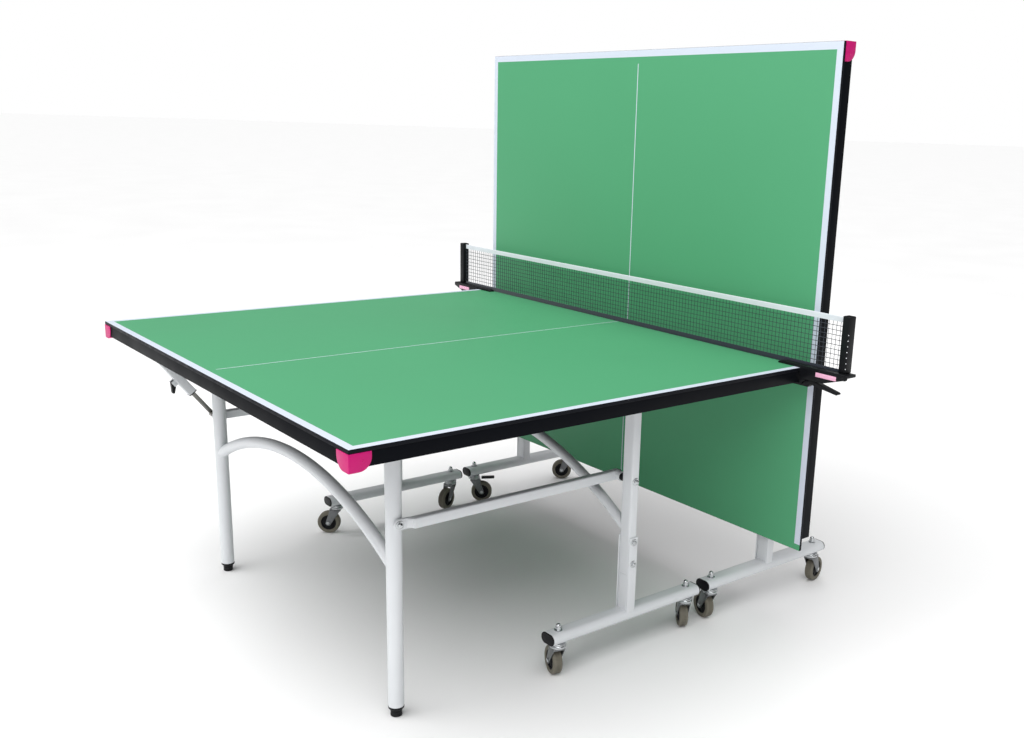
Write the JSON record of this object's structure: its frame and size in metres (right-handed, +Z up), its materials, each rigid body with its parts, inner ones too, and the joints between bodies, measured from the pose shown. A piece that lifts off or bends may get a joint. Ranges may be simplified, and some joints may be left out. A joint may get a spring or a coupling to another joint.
{
  "type": "ping pong table",
  "caption": "Folding ping pong table in solo-play position: one half level on its legs, the other upright as a rebound board, on wheeled trolleys, with a clip-on net.",
  "frame": {"origin": "on the floor, at the middle of the bounding box of the whole table as set up for solo play", "axes": "+X along the table from the level half towards the upright half, +Y across it, +Z up"},
  "size_m": [1.7138, 1.833, 1.591],
  "materials": {
    "board": "fine matt outdoor laminate, green",
    "apron": "satin near-black powder coat",
    "corner": "moulded bright pink",
    "powder": "light grey powder coat",
    "rod": "dark grey",
    "black": "moulded black",
    "chrome": "bright zinc plate",
    "rubber": "grey tyre on a dark hub",
    "net": "dark net cloth with a white tape"
  },
  "bodies": {
    "level_trolley": {"level_post_left": "powder", "level_post_right": "powder", "level_post_arch": "powder", "level_base_left": "powder", "level_base_right": "powder"},
    "level_top": {"level_board": "board", "level_frame": "apron", "level_corner_left": "corner", "level_corner_right": "corner", "net": "net", "net_post_left": "black", "net_post_right": "black", "net_clamp_left": "black", "net_clamp_right": "black"},
    "level_legs": {"level_leg_left": "powder", "level_leg_right": "powder", "level_leg_arch": "powder"},
    "level_links": {"level_link_left": "powder", "level_link_right": "powder"},
    "level_stay_sleeve": {"level_stay_sleeve": "powder"},
    "level_stay_rod": {"level_stay_rod": "rod"},
    "level_stay_catch": {"level_stay_catch": "black"},
    "level_fork_left_outer": {"level_fork_left_outer": "chrome"},
    "level_wheel_left_outer": {"level_wheel_left_outer": "rubber"},
    "level_fork_left_inner": {"level_fork_left_inner": "chrome"},
    "level_wheel_left_inner": {"level_wheel_left_inner": "rubber"},
    "level_fork_right_outer": {"level_fork_right_outer": "chrome"},
    "level_wheel_right_outer": {"level_wheel_right_outer": "rubber"},
    "level_fork_right_inner": {"level_fork_right_inner": "chrome"},
    "level_wheel_right_inner": {"level_wheel_right_inner": "rubber"},
    "upright_trolley": {"upright_post_left": "powder", "upright_post_right": "powder", "upright_post_arch": "powder", "upright_base_left": "powder", "upright_base_right": "powder"},
    "upright_top": {"upright_board": "board", "upright_frame": "apron", "upright_corner_left": "corner", "upright_corner_right": "corner"},
    "upright_legs": {"upright_leg_left": "powder", "upright_leg_right": "powder", "upright_leg_arch": "powder"},
    "upright_links": {"upright_link_left": "powder", "upright_link_right": "powder"},
    "upright_stay_sleeve": {"upright_stay_sleeve": "powder"},
    "upright_stay_rod": {"upright_stay_rod": "rod"},
    "upright_stay_catch": {"upright_stay_catch": "black"},
    "upright_fork_left_outer": {"upright_fork_left_outer": "chrome"},
    "upright_wheel_left_outer": {"upright_wheel_left_outer": "rubber"},
    "upright_fork_left_inner": {"upright_fork_left_inner": "chrome"},
    "upright_wheel_left_inner": {"upright_wheel_left_inner": "rubber"},
    "upright_fork_right_outer": {"upright_fork_right_outer": "chrome"},
    "upright_wheel_right_outer": {"upright_wheel_right_outer": "rubber"},
    "upright_fork_right_inner": {"upright_fork_right_inner": "chrome"},
    "upright_wheel_right_inner": {"upright_wheel_right_inner": "rubber"},
    "upright_brake_pedal": {"upright_brake_pedal": "black"},
    "clamp_lever_left": {"clamp_lever_left": "black"},
    "clamp_lever_right": {"clamp_lever_right": "black"}
  },
  "joints": [
    {"name": "level_tilt", "type": "hinge", "parent": "level_trolley", "child": "level_top", "pos_m": [0.01371, 0, 0.72], "axis": [0, 1, 0], "range_deg": [0, 90]},
    {"name": "level_legs_fold", "type": "hinge", "parent": "level_top", "child": "level_legs", "pos_m": [-0.62429, 0, 0.72], "axis": [0, 1, 0], "range_deg": [-90, 0]},
    {"name": "level_links_swing", "type": "hinge", "parent": "level_trolley", "child": "level_links", "pos_m": [0.01371, 0, 0.487], "axis": [0, 1, 0], "range_deg": [0, 90]},
    {"name": "level_stay_sleeve_turn", "type": "hinge", "parent": "level_top", "child": "level_stay_sleeve", "pos_m": [-0.80429, 0.5715, 0.72], "axis": [0, 1, 0], "range_deg": [-52.5, 0]},
    {"name": "level_stay_rod_turn", "type": "hinge", "parent": "level_legs", "child": "level_stay_rod", "pos_m": [-0.62429, 0.5715, 0.487], "axis": [0, 1, 0], "range_deg": [0, 38]},
    {"name": "level_stay_catch_pull", "type": "hinge", "parent": "level_stay_sleeve", "child": "level_stay_catch", "pos_m": [-0.7337, 0.5715, 0.59509], "axis": [0, -1, 0], "range_deg": [0, 20], "stiffness_Nm_per_rad": 0.3, "springref_deg": -11.46},
    {"name": "upright_roll", "type": "slide", "parent": "level_trolley", "child": "upright_trolley", "axis": [1, 0, 0], "range_m": [0, 0.511]},
    {"name": "upright_tilt", "type": "hinge", "parent": "upright_trolley", "child": "upright_top", "pos_m": [0.56571, 0, 0.72], "axis": [0, 1, 0], "range_deg": [0, 90]},
    {"name": "upright_legs_fold", "type": "hinge", "parent": "upright_top", "child": "upright_legs", "pos_m": [0.56571, 0, 1.358], "axis": [0, 1, 0], "range_deg": [-90, 0]},
    {"name": "upright_links_swing", "type": "hinge", "parent": "upright_trolley", "child": "upright_links", "pos_m": [0.56571, 0, 0.487], "axis": [0, 1, 0], "range_deg": [0, 90]},
    {"name": "upright_stay_sleeve_turn", "type": "hinge", "parent": "upright_top", "child": "upright_stay_sleeve", "pos_m": [0.56571, -0.5715, 1.538], "axis": [0, 1, 0], "range_deg": [-52.5, 0]},
    {"name": "upright_stay_rod_turn", "type": "hinge", "parent": "upright_legs", "child": "upright_stay_rod", "pos_m": [0.56571, -0.5715, 1.125], "axis": [0, 1, 0], "range_deg": [0, 38]},
    {"name": "upright_stay_catch_pull", "type": "hinge", "parent": "upright_stay_sleeve", "child": "upright_stay_catch", "pos_m": [0.58621, -0.5715, 1.396], "axis": [0, 1, 0], "range_deg": [0, 20], "stiffness_Nm_per_rad": 0.3, "springref_deg": -11.46},
    {"name": "level_swivel_left_outer", "type": "hinge", "parent": "level_trolley", "child": "level_fork_left_outer", "pos_m": [-0.21129, 0.604, 0.1017], "axis": [0, 0, 1], "continuous": true},
    {"name": "level_roll_left_outer", "type": "hinge", "parent": "level_fork_left_outer", "child": "level_wheel_left_outer", "pos_m": [-0.23274, 0.622, 0.0375], "axis": [-0.6428, -0.766, 0], "continuous": true},
    {"name": "level_swivel_left_inner", "type": "hinge", "parent": "level_trolley", "child": "level_fork_left_inner", "pos_m": [0.23871, 0.604, 0.1017], "axis": [0, 0, 1], "continuous": true},
    {"name": "level_roll_left_inner", "type": "hinge", "parent": "level_fork_left_inner", "child": "level_wheel_left_inner", "pos_m": [0.21313, 0.59261, 0.0375], "axis": [0.4067, -0.9135, 0], "continuous": true},
    {"name": "level_swivel_right_outer", "type": "hinge", "parent": "level_trolley", "child": "level_fork_right_outer", "pos_m": [-0.21129, -0.604, 0.1017], "axis": [0, 0, 1], "continuous": true},
    {"name": "level_roll_right_outer", "type": "hinge", "parent": "level_fork_right_outer", "child": "level_wheel_right_outer", "pos_m": [-0.20311, -0.57722, 0.0375], "axis": [-0.9563, 0.2924, 0], "continuous": true},
    {"name": "level_swivel_right_inner", "type": "hinge", "parent": "level_trolley", "child": "level_fork_right_inner", "pos_m": [0.23871, -0.604, 0.1017], "axis": [0, 0, 1], "continuous": true},
    {"name": "level_roll_right_inner", "type": "hinge", "parent": "level_fork_right_inner", "child": "level_wheel_right_inner", "pos_m": [0.25436, -0.58079, 0.0375], "axis": [-0.829, 0.5592, 0], "continuous": true},
    {"name": "upright_swivel_left_outer", "type": "hinge", "parent": "upright_trolley", "child": "upright_fork_left_outer", "pos_m": [0.79071, 0.604, 0.1017], "axis": [0, 0, 1], "continuous": true},
    {"name": "upright_roll_left_outer", "type": "hinge", "parent": "upright_fork_left_outer", "child": "upright_wheel_left_outer", "pos_m": [0.76926, 0.622, 0.0375], "axis": [-0.6428, -0.766, 0], "continuous": true},
    {"name": "upright_swivel_left_inner", "type": "hinge", "parent": "upright_trolley", "child": "upright_fork_left_inner", "pos_m": [0.34071, 0.604, 0.1017], "axis": [0, 0, 1], "continuous": true},
    {"name": "upright_roll_left_inner", "type": "hinge", "parent": "upright_fork_left_inner", "child": "upright_wheel_left_inner", "pos_m": [0.36364, 0.58794, 0.0375], "axis": [0.5736, 0.8192, 0], "continuous": true},
    {"name": "upright_swivel_right_outer", "type": "hinge", "parent": "upright_trolley", "child": "upright_fork_right_outer", "pos_m": [0.79071, -0.604, 0.1017], "axis": [0, 0, 1], "continuous": true},
    {"name": "upright_roll_right_outer", "type": "hinge", "parent": "upright_fork_right_outer", "child": "upright_wheel_right_outer", "pos_m": [0.81819, -0.59866, 0.0375], "axis": [-0.1908, 0.9816, 0], "continuous": true},
    {"name": "upright_swivel_right_inner", "type": "hinge", "parent": "upright_trolley", "child": "upright_fork_right_inner", "pos_m": [0.34071, -0.604, 0.1017], "axis": [0, 0, 1], "continuous": true},
    {"name": "upright_roll_right_inner", "type": "hinge", "parent": "upright_fork_right_inner", "child": "upright_wheel_right_inner", "pos_m": [0.34653, -0.57661, 0.0375], "axis": [-0.9781, 0.2079, 0], "continuous": true},
    {"name": "upright_brake_press", "type": "hinge", "parent": "upright_fork_left_inner", "child": "upright_brake_pedal", "pos_m": [0.36364, 0.58794, 0.0897], "axis": [0.5736, 0.8192, 0], "range_deg": [0, 8]},
    {"name": "clamp_left_squeeze", "type": "hinge", "parent": "level_top", "child": "clamp_lever_left", "pos_m": [0.47041, 0.79, 0.728], "axis": [1, 0, 0], "range_deg": [0, 12], "stiffness_Nm_per_rad": 3, "springref_deg": -14.32},
    {"name": "clamp_right_squeeze", "type": "hinge", "parent": "level_top", "child": "clamp_lever_right", "pos_m": [0.47041, -0.79, 0.728], "axis": [-1, 0, 0], "range_deg": [0, 12], "stiffness_Nm_per_rad": 3, "springref_deg": -14.32}
  ],
  "couplings": [
    {"joint": "level_legs_fold", "follows": "level_tilt", "ratio": -1},
    {"joint": "level_links_swing", "follows": "level_tilt", "ratio": 1},
    {"joint": "level_stay_sleeve_turn", "follows": "level_tilt", "ratio": -0.58125},
    {"joint": "level_stay_rod_turn", "follows": "level_tilt", "ratio": 0.41875},
    {"joint": "upright_legs_fold", "follows": "upright_tilt", "ratio": -1},
    {"joint": "upright_links_swing", "follows": "upright_tilt", "ratio": 1},
    {"joint": "upright_stay_sleeve_turn", "follows": "upright_tilt", "ratio": -0.58125},
    {"joint": "upright_stay_rod_turn", "follows": "upright_tilt", "ratio": 0.41875},
    {"joint": "upright_roll", "follows": "upright_tilt", "m_per_rad": 0.32468}
  ]
}
